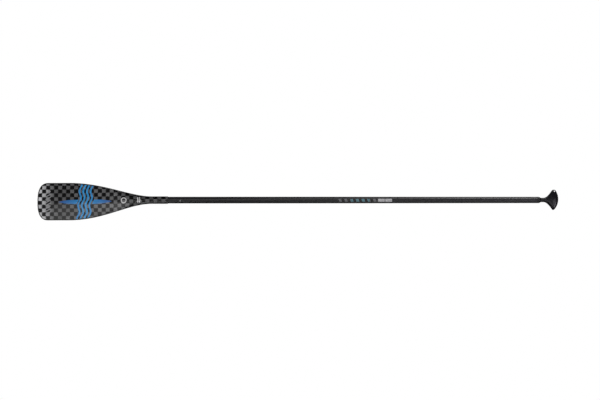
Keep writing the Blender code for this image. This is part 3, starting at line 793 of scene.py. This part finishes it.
# The bead
# A black bead moulded round the blade's edge against knocks, up one side, across the tip and down
# the other. It tapers away before the neck.

RAIL_NOSE_START = 0.02        # share of its width before its section begins to round
NOSE_SQUARENESS = 3.0
NOSE_FACETS = 14


def bead_mesh():
    """Closed sections of the bead, from its +Y end round the tip to its -Y end, joined up."""
    power = 2 / NOSE_SQUARENESS
    side_places = [x for x in blade_stations() if x < RAIL_END] + [RAIL_END - GAP]
    edge_angle = math.acos(1 - RAIL_WIDTH / HALF_WIDTH)
    shares = [math.cos(a) / math.cos(edge_angle) for a in columns_from(edge_angle, COLUMNS)]
    one_side = [(x, half_width(x)) for x in reversed(side_places[1:])]
    tip = [(tip_x(v * TIP_EDGE / 2), v * TIP_EDGE / 2) for v in shares]
    mesh = bmesh.new()
    rings = []
    for x, y in one_side + tip + [(x, -y) for x, y in reversed(one_side)]:
        in_x, in_y = inside_edge(x, y, rail_width(x))
        angle = math.acos(in_y / half_width(max(in_x, TIP_CORNER)))
        top, bottom = (surface(in_x, angle, side, 0.0)[2] for side in (1, -1))
        middle, half = (top + bottom) / 2, (top - bottom) / 2
        ring = [(in_x, in_y, bottom)]
        for step in range(NOSE_FACETS + 1):
            turn = math.pi * (step / NOSE_FACETS - 0.5)
            out = abs(math.cos(turn)) ** power
            rise = math.copysign(abs(math.sin(turn)) ** power, turn)
            share = RAIL_NOSE_START + (1 - RAIL_NOSE_START) * out
            ring.append((
                in_x + (x - in_x) * share, in_y + (y - in_y) * share, middle + half * rise))
        ring.append((in_x, in_y, top))
        rings.append([mesh.verts.new(p) for p in ring])
    for first, second in zip(rings, rings[1:]):
        for j in range(len(first)):
            k = (j + 1) % len(first)
            mesh.faces.new((first[j], first[k], second[k], second[j]))
    mesh.faces.new(rings[0])
    mesh.faces.new(rings[-1])
    return mesh


SCRATCHES, SCUFFED_PATCHES = (0.66, 0.72), (0.50, 0.62)     # parts of the noise that show
SCUFF_ROUGHNESS = 0.2         # that a scuff adds


def moulded_grain_group():
    """Fine pebbling of a moulded surface, with faint scuffs that run all ways."""
    tree, given, result = group_tree(
        "moulded_grain", ("Pebble size", "Scuffs"), ("Height", "Scuff"))
    place = shader_node(tree, "ShaderNodeTexCoord").outputs["Object"]
    pebbles = shader_node(
        tree, "ShaderNodeTexVoronoi",
        {"Vector": place, "Scale": maths(tree, "DIVIDE", 1.0, given["Pebble size"])},
        feature="SMOOTH_F1").outputs[0]
    cloud = noise(tree, place, scale=90.0, detail=8.0)[0]
    scratches = noise(tree, place, scale=420.0, detail=2.0, Distortion=3.0)[0]
    scuff = product(
        tree, ramp(tree, scratches, *SCRATCHES, "LINEAR"),
        ramp(tree, cloud, *SCUFFED_PATCHES, "LINEAR"), given["Scuffs"])
    return put_out(
        tree, result, {"Height": maths(tree, "SUBTRACT", pebbles, scuff), "Scuff": scuff})


moulded_grain = moulded_grain_group()


def moulded_material(name, colour, scuffed, pebble, scuffs, roughness, grain_depth):
    """Dark moulded plastic whose scuffs are lighter and duller."""
    material, tree, shader = new_material(name)
    grain = effect(tree, moulded_grain, {"Pebble size": pebble, "Scuffs": scuffs})
    set_shader(
        tree, shader, Base_Color=blended(tree, grain["Scuff"], colour, scuffed),
        Roughness=ranged(tree, grain["Scuff"], roughness, roughness + SCUFF_ROUGHNESS),
        Normal=relief(tree, grain["Height"], strength=0.5, distance=grain_depth))
    return material


add_piece(
    "edge_bead", bead_mesh(),
    moulded_material(
        "edge_bead", colour=(0.006, 0.006, 0.007, 1), scuffed=(0.05, 0.05, 0.052, 1),
        pebble=0.0005, scuffs=0.8, roughness=0.38, grain_depth=0.00006),
    "edge_bead", "blade_edge_rail")


# The fillings
# Light panel foam between the skins, a denser block of it in the neck below the shaft's end, and
# two plugs of cut foam that keep water out of the shaft. All are closed-cell foam, sanded to fit.

CELL_RIM = (0.02, 0.22)       # from the wall between two cells to the pit's full depth


def foam_cells_group():
    """Packed bubbles cut open by sanding: a rim round each cell and a pit inside it."""
    tree, given, result = group_tree("foam_cells", ("Cell size",), ("Pit", "Dust"))
    place = shader_node(tree, "ShaderNodeTexCoord").outputs["Object"]
    cells = shader_node(
        tree, "ShaderNodeTexVoronoi",
        {"Vector": place, "Scale": maths(tree, "DIVIDE", 1.0, given["Cell size"])},
        feature="DISTANCE_TO_EDGE").outputs[0]
    dust = noise(tree, place, scale=55.0, detail=5.0)[0]
    return put_out(tree, result, {"Pit": ramp(tree, cells, *CELL_RIM), "Dust": dust})


foam_cells = foam_cells_group()


def foam_material(name, pale, dark, cell):
    """Sanded foam: pale cell walls round pits painted darker as shade in them, more or less filled
    with dust.
    """
    material, tree, shader = new_material(name)
    foam = effect(tree, foam_cells, {"Cell size": cell})
    # Painted shade in the pits, lighter where the dust noise fills them.
    shade = product(tree, foam["Pit"], ranged(tree, foam["Dust"], 0.3, 0.9))
    set_shader(
        tree, shader, Base_Color=blended(tree, shade, pale, dark), Roughness=0.92,
        Normal=relief(tree, foam["Pit"], strength=0.6, distance=cell / 3, invert=True))
    return material


def dress(node, material):
    """Gives a loaded node its finish. Its shape and place stay."""
    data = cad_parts[node].data
    data.materials.clear()
    data.materials.append(material)


dress("blade_foam_core", foam_material(
    "panel_foam", pale=(0.82, 0.78, 0.64, 1), dark=(0.66, 0.60, 0.44, 1), cell=0.0006))
dress("neck_block", foam_material(
    "neck_foam", pale=(0.74, 0.63, 0.42, 1), dark=(0.52, 0.42, 0.25, 1), cell=0.0004))
plug_foam = foam_material(
    "plug_foam", pale=(0.80, 0.78, 0.72, 1), dark=(0.58, 0.56, 0.50, 1), cell=0.0011)
dress("shaft_lower_plug", plug_foam)
dress("shaft_upper_plug", plug_foam)


# The shaft and its sleeve
# A tube of fine twill carbon, sanded to a satin and sealed with a thin coat, with printed marks on
# its upper half. The sleeve that takes it in the neck keeps the rough print of its peel ply.

TWILL_TOW = 0.002
TWILL_REPEAT = 4              # tows: over two and under two
TWILL_EDGE = 0.3              # over which a tow sinks to its joint, in tows
PEEL_TOW = 0.0005             # pitch of the print that the peel ply leaves
SHAFT_MEAN_RADIUS = 0.0141


def twill_group():
    """Twill weave: each tow goes over two and under two, one step on from its neighbour."""
    tree, given, result = group_tree(
        "twill_cloth", ("Along", "Across", "Tow width"), ("Crosswise", "Fibre", "Crown"))
    cells = [maths(tree, "DIVIDE", given[name], given["Tow width"]) for name in ("Along", "Across")]
    column, row = (maths(tree, "FLOOR", cell) for cell in cells)
    step = maths(tree, "FLOORED_MODULO", maths(tree, "ADD", column, row), TWILL_REPEAT)
    crosswise = maths(tree, "LESS_THAN", step, TWILL_REPEAT / 2 - 0.5)
    flat = shader_node(
        tree, "ShaderNodeCombineXYZ", {0: given["Along"], 1: given["Across"]}).outputs[0]
    fibre = noise(tree, flat, scale=2600.0, detail=2.0, dimensions="2D")[0]
    edges = [maths(tree, "PINGPONG", cell, 0.5) for cell in cells]
    crown = ramp(tree, maths(tree, "MINIMUM", *edges), 0.0, TWILL_EDGE, "LINEAR")
    return put_out(tree, result, {"Crosswise": crosswise, "Fibre": fibre, "Crown": crown})


twill = twill_group()


def round_the_shaft(tree):
    """(distance from the blade's tip, distance round the shaft from its top), in metres."""
    place = shader_node(tree, "ShaderNodeTexCoord").outputs["Object"]
    own = shader_node(tree, "ShaderNodeMapping", {
        "Vector": place, "Location": paddle_origin,
        "Rotation": to_world.to_3x3().to_euler()}, vector_type="TEXTURE").outputs[0]
    own = shader_node(tree, "ShaderNodeSeparateXYZ", {0: own}).outputs
    turn = maths(tree, "ARCTAN2", own["Y"], own["Z"])
    return own["X"], product(tree, turn, SHAFT_MEAN_RADIUS)


# Places of the marks from the tip, and their reach to both sides
DASHES_AT, DASHES_REACH = 1.4030, 0.0818
BLUE_DASHES_AT, BLUE_DASHES_REACH = 1.4145, 0.0415
BLOCK_AT, BLOCK_REACH, SLIT_REACH = 1.5235, 0.0305, 0.0012
TICK_AT, TICK_REACH = 0.6286, 0.0007
# Their forms
MARKS_OFFSET = 0.0025         # their line lies this far round from the shaft's top
DASH_START, DASH_STEP, DASH_SHARE = 1.3212, 0.0252, 0.5
DASH_LEAN, DASH_HALF_WIDTH = 0.35, 0.0062
BLOCK_HALF_WIDTH = 0.0066
TICK_MIDDLE, TICK_HALF_WIDTH = -0.0045, 0.0045


def shaft_prints(tree, along, across):
    """Generic marks on the shaft: (a row of slanted dashes, where they are blue, silver marks).

    The silver marks are a block in two halves above the dashes, and a tick near the neck.
    """
    off_line = maths(tree, "ADD", across, MARKS_OFFSET)
    slant = maths(tree, "MULTIPLY_ADD", off_line, DASH_LEAN, along)
    dashes = product(
        tree, stripes(tree, maths(tree, "SUBTRACT", slant, DASH_START), DASH_STEP, DASH_SHARE),
        within(tree, slant, DASHES_AT, DASHES_REACH), within(tree, off_line, 0.0, DASH_HALF_WIDTH))
    inked = within(tree, along, BLUE_DASHES_AT, BLUE_DASHES_REACH)
    block = product(
        tree, within(tree, along, BLOCK_AT, BLOCK_REACH),
        within(tree, off_line, 0.0, BLOCK_HALF_WIDTH),
        opposite(tree, within(tree, along, BLOCK_AT, SLIT_REACH)))
    tick = product(
        tree, within(tree, along, TICK_AT, TICK_REACH),
        within(tree, across, TICK_MIDDLE, TICK_HALF_WIDTH))
    return dashes, inked, either(tree, tick, block)


SHAFT_BLACK, SHAFT_GREY = (0.009, 0.009, 0.010, 1), (0.030, 0.030, 0.034)
DASH_GREY, DASH_BLUE = (0.20, 0.20, 0.21, 1), (0.15, 0.32, 0.37, 1)
BLOCK_SILVER = (0.74, 0.74, 0.75, 1)
SLEEVE_BLACK, SLEEVE_GREY = (0.018, 0.018, 0.02, 1), (0.05, 0.05, 0.052, 1)


def shaft_material():
    """Sanded twill under a thin coat, with the marks under it."""
    material, tree, shader = new_material("shaft_laminate")
    along, across = round_the_shaft(tree)
    cloth = effect(tree, twill, {"Along": along, "Across": across, "Tow width": TWILL_TOW})
    shade = product(
        tree, ranged(tree, cloth["Fibre"], 0.6, 1.4), ranged(tree, cloth["Crown"], 0.6, 1.0))
    colour = blended(tree, cloth["Crosswise"], SHAFT_BLACK, shaded(tree, SHAFT_GREY, shade))
    dashes, inked, silver = shaft_prints(tree, along, across)
    colour = blended(tree, dashes, colour, blended(tree, inked, DASH_GREY, DASH_BLUE))
    colour = blended(tree, silver, colour, BLOCK_SILVER)
    place = shader_node(tree, "ShaderNodeTexCoord").outputs["Object"]
    sanding = noise(tree, place, scale=60.0, detail=7.0)[0]
    set_shader(
        tree, shader, Base_Color=colour, Roughness=ranged(tree, sanding, 0.30, 0.46),
        Coat_Weight=0.5, Coat_Roughness=0.22,
        Normal=relief(tree, cloth["Crown"], strength=0.15, distance=0.00005))
    return material


def sleeve_material():
    """Carbon with the cross-hatched print that a peel ply leaves for the glue."""
    material, tree, shader = new_material("sleeve_laminate")
    along, across = round_the_shaft(tree)
    cloth = effect(tree, twill, {"Along": along, "Across": across, "Tow width": PEEL_TOW})
    set_shader(
        tree, shader, Roughness=0.7,
        Base_Color=blended(tree, cloth["Crosswise"], SLEEVE_BLACK, SLEEVE_GREY),
        Normal=relief(tree, cloth["Crown"], strength=0.5, distance=0.0001))
    return material


dress("shaft_tube", shaft_material())
dress("neck_sleeve", sleeve_material())


# The spigot
# A ribbed insert of dark nylon, moulded in one piece. It is glued into the shaft's upper end, and
# the grip's two shells close on its stem.

dress("grip_spigot", moulded_material(
    "spigot_nylon", colour=(0.07, 0.07, 0.075, 1), scuffed=(0.14, 0.14, 0.15, 1), pebble=0.0009,
    scuffs=0.5, roughness=0.55, grain_depth=0.00004))


# The grip
# A moulded T in two shells, parted along the blade's plane, with a collar that continues the shaft,
# a slimmer neck, and wings that flare into a palm. One wing has a hole for a lanyard.

LENGTH = 2.286                # blade tip to the crown of the palm
GRIP_LENGTH = 0.0948          # seam on the shaft to the crown of the palm
GRIP_DEPTH = 0.027            # through the palm
GRIP_WALL = 0.0022            # thickness of a shell
GRIP_SQUARENESS = 2.4         # of the section through the wings, a superellipse
GRIP_RIDGE = 0.16             # how far the faces fall from their middle towards the wings
GRIP_RIDGE_SOFTNESS = 0.06
SHAFT_TOP_RADIUS = 0.01375    # which the collar goes on with
COLLAR_LENGTH = 0.0085
SHOULDER_LENGTH = 0.0105      # from the collar in to the neck
GRIP_NECK_RADIUS = 0.0095
GRIP_NECK_LENGTH = 0.0105
WING_START = 0.0666           # seam to where the flare meets the rounded wing tip
WING_ROOT = 0.0415            # from the axis to the outline there
WING_SLOPE = 1.5              # and how steeply it leaves the axis
WING_END = 0.0828             # seam to where the wing tip meets the palm's arch
WING_REACH = 0.0440           # from the axis to the outermost point
HOLED_WING_REACH = 0.0453
PALM_RADIUS = 0.068
PALM_OFF_AXIS = 0.0040        # its crown leans towards the holed wing
PALM_START = 0.080            # seam to where the faces roll over into the palm
PALM_CROWN = 0.010            # width of the crown, where the arch is closed
CAVITY_REACH = 0.031          # from the axis to the hollow's end in each wing
LANYARD_HOLE = 0.007          # diameter
LANYARD_OFF_AXIS = 0.0381
LANYARD_BELOW_CROWN = 0.0162
HOLE_ROUNDING = 0.0004
HOLE_TOLERANCE = 2e-5         # within which a point lies on the hole's wall
RIM_ANGLE = math.radians(35)            # an edge of the rim turns by more
HOLE_FACETS = 40
GRIP_COLUMNS = 44             # facets round half the grip
SHOULDER_ROWS, FLARE_ROWS, WING_ROWS, PALM_ROWS = 8, 20, 16, 16

SEAM = LENGTH - GRIP_LENGTH
FLARE_START = COLLAR_LENGTH + SHOULDER_LENGTH + GRIP_NECK_LENGTH
HOLE_CENTRE = Vector((LENGTH - LANYARD_BELOW_CROWN, LANYARD_OFF_AXIS, 0))


def arch_edge(g, side, shrink=0.0):
    """From the axis to the palm's arch, g past the seam. side is 1 towards the lanyard hole."""
    radius = PALM_RADIUS - shrink
    below = max(GRIP_LENGTH - shrink - g, 0.0)
    half = math.sqrt(max(radius ** 2 - (radius - below) ** 2, 0.0))
    return max(half, PALM_CROWN / 2) + side * PALM_OFF_AXIS


def neck_radius(g):
    """Radius of the collar, the shoulder and the neck."""
    share = smooth((g - COLLAR_LENGTH) / SHOULDER_LENGTH)
    return SHAFT_TOP_RADIUS + (GRIP_NECK_RADIUS - SHAFT_TOP_RADIUS) * share


def grip_edge(g, side):
    """From the axis to the T's outline at g."""
    if g <= FLARE_START:
        return neck_radius(g)
    if g <= WING_START:
        reach = (WING_START - FLARE_START) / 3
        return bezier_height((
            (FLARE_START, GRIP_NECK_RADIUS), (FLARE_START + reach, GRIP_NECK_RADIUS),
            (WING_START - reach, WING_ROOT - WING_SLOPE * reach), (WING_START, WING_ROOT),
        ), g)
    if g >= WING_END:
        return arch_edge(g, side)
    landing = arch_edge(WING_END, side)
    reach = HOLED_WING_REACH if side > 0 else WING_REACH
    height = (reach - (WING_ROOT + landing) / 8) * 4 / 3    # takes the curve's middle to reach
    arch_slope = (PALM_RADIUS - GRIP_LENGTH + WING_END) / (landing - side * PALM_OFF_AXIS)
    return bezier_height((
        (WING_START, WING_ROOT), (WING_START + (height - WING_ROOT) / WING_SLOPE, height),
        (WING_END - (height - landing) / arch_slope, height), (WING_END, landing),
    ), g)


def grip_stations():
    """Places down the grip from its seam to the palm's crown."""
    rows = [0.0] + spaced(COLLAR_LENGTH, COLLAR_LENGTH + SHOULDER_LENGTH, SHOULDER_ROWS)
    rows += spaced(FLARE_START, WING_START, FLARE_ROWS)
    rows += spaced(WING_START, WING_END, WING_ROWS)[1:]
    palm_length = GRIP_LENGTH - PALM_START
    first = math.asin((WING_END - PALM_START) / palm_length)
    rows += [PALM_START + palm_length * math.sin(turn)
             for turn in spaced(first, math.pi / 2, PALM_ROWS)[1:]]
    return rows


def grip_half_depth(g):
    """From the parting line to the outer face's middle."""
    palm = GRIP_DEPTH / 2
    if g <= FLARE_START:
        return neck_radius(g)
    if g <= PALM_START:
        share = smooth((g - FLARE_START) / (PALM_START - FLARE_START))
        return GRIP_NECK_RADIUS + (palm - GRIP_NECK_RADIUS) * share
    roll = (g - PALM_START) / (GRIP_LENGTH - PALM_START)
    return palm * math.sqrt(max(1 - roll * roll, 0.0))


def grip_ring(g, reaches, depth, side):
    """Half a superellipse across the grip, between its reaches towards and away from the hole."""
    spread = smooth((g - FLARE_START) / (WING_START - FLARE_START))
    power = 2 / (2 + (GRIP_SQUARENESS - 2) * spread)
    middle, half = (reaches[0] - reaches[1]) / 2, (reaches[0] + reaches[1]) / 2
    ring = []
    for angle in columns_from(0.0, GRIP_COLUMNS):
        cos, sin = math.cos(angle), math.sin(angle)
        across = math.copysign(abs(cos) ** power, cos)
        y = middle + half * across
        z = depth * abs(sin) ** power if 0 < angle < math.pi - NUDGE else 0.0
        z *= 1 - GRIP_RIDGE * spread * ridge_fall(across, GRIP_RIDGE_SOFTNESS)
        ring.append((SEAM + g, y, side * (z + GAP / 2)))
    return ring


def shell_grids(side):
    """The outside and the inside of one shell: hollow round the stem, solid in the wing tips."""
    stem_bore = GRIP_NECK_RADIUS - GRIP_WALL
    outside, inside = [], []
    for g in grip_stations():
        reaches = [grip_edge(g, towards) for towards in (1, -1)]
        outside.append(grip_ring(g, reaches, max(grip_half_depth(g) - GAP / 2, 0.0), side))
        if g <= FLARE_START:
            inner_g, hollow, deep = g, [stem_bore, stem_bore], stem_bore
        else:
            inner_g = g * (GRIP_LENGTH - GRIP_WALL) / GRIP_LENGTH
            spread = smooth((g - FLARE_START) / (WING_START - FLARE_START))
            hollow = []
            for towards, reach in zip((1, -1), reaches):
                full = min(reach - GRIP_WALL, CAVITY_REACH)
                at_arch = arch_edge(inner_g, towards, GRIP_WALL)
                hollow.append(min(stem_bore + (full - stem_bore) * spread, at_arch))
            deep = grip_half_depth(g) * (1 - GRIP_WALL / GRIP_NECK_RADIUS)
        inside.append(grip_ring(inner_g, hollow, max(deep - GAP / 2, 0.0), side))
    return outside, inside


def cut_hole(mesh):
    """Bores the lanyard hole through a shell."""
    cutter = bmesh.new()
    bmesh.ops.create_cone(
        cutter, cap_ends=True, segments=HOLE_FACETS, radius1=LANYARD_HOLE / 2,
        radius2=LANYARD_HOLE / 2, depth=2 * GRIP_DEPTH, matrix=Matrix.Translation(HOLE_CENTRE))
    solids = []
    for name, source in (("uncut shell", mesh), ("lanyard drill", cutter)):
        face_outwards(source)
        solids.append(mesh_object(name, source))
    shell, drill = solids
    bore = shell.modifiers.new("bore", "BOOLEAN")
    bore.operation = "DIFFERENCE"
    bore.solver = "MANIFOLD"
    bore.object = drill
    cut = bmesh.new()
    cut.from_object(shell, bpy.context.evaluated_depsgraph_get())
    for solid in solids:
        data = solid.data
        bpy.data.objects.remove(solid)
        bpy.data.meshes.remove(data)
    return cut


def round_rim(mesh, side):
    """Rounds the hole's rim on the outer face."""
    rim = []
    for edge in mesh.edges:
        on_wall = all(
            abs((v.co - HOLE_CENTRE).xy.length - LANYARD_HOLE / 2) < HOLE_TOLERANCE
            for v in edge.verts)
        off_seam = min(side * v.co.z for v in edge.verts) > GRIP_DEPTH / 8
        if on_wall and off_seam and len(edge.link_faces) == 2:
            if edge.calc_face_angle() > RIM_ANGLE:
                rim.append(edge)
    bmesh.ops.bevel(
        mesh, geom=rim, offset=HOLE_ROUNDING, segments=3, profile=0.5, affect="EDGES",
        clamp_overlap=True)
    return mesh


COLLAR_GREY, PALM_BLACK = (0.020, 0.020, 0.020, 1), (0.013, 0.0125, 0.0162, 1)
GRIP_SCUFF = (0.055, 0.055, 0.06, 1)
GRIP_ROUGHNESS = 0.24


def grip_material():
    """Grained black moulding: greyer on the collar and neck, bluish black on the T."""
    material, tree, shader = new_material("grip_moulding")
    grain = effect(tree, moulded_grain, {"Pebble size": 0.0007, "Scuffs": 0.35})
    along, _ = round_the_shaft(tree)
    on_palm = ramp(tree, along, SEAM + FLARE_START, SEAM + WING_START)
    base = blended(tree, on_palm, COLLAR_GREY, PALM_BLACK)
    set_shader(
        tree, shader, Base_Color=blended(tree, grain["Scuff"], base, GRIP_SCUFF),
        Roughness=ranged(
            tree, grain["Scuff"], GRIP_ROUGHNESS, GRIP_ROUGHNESS + SCUFF_ROUGHNESS),
        Specular_IOR_Level=0.4, Normal=relief(tree, grain["Height"], strength=0.35, distance=0.0001))
    return material


grip_moulding = grip_material()
for node_name, side in (("grip_front_shell", 1), ("grip_back_shell", -1)):
    shell = round_rim(cut_hole(slab(*shell_grids(side))), side)
    add_piece(node_name.replace("_shell", "_half"), shell, grip_moulding, "grip_moulding", node_name)
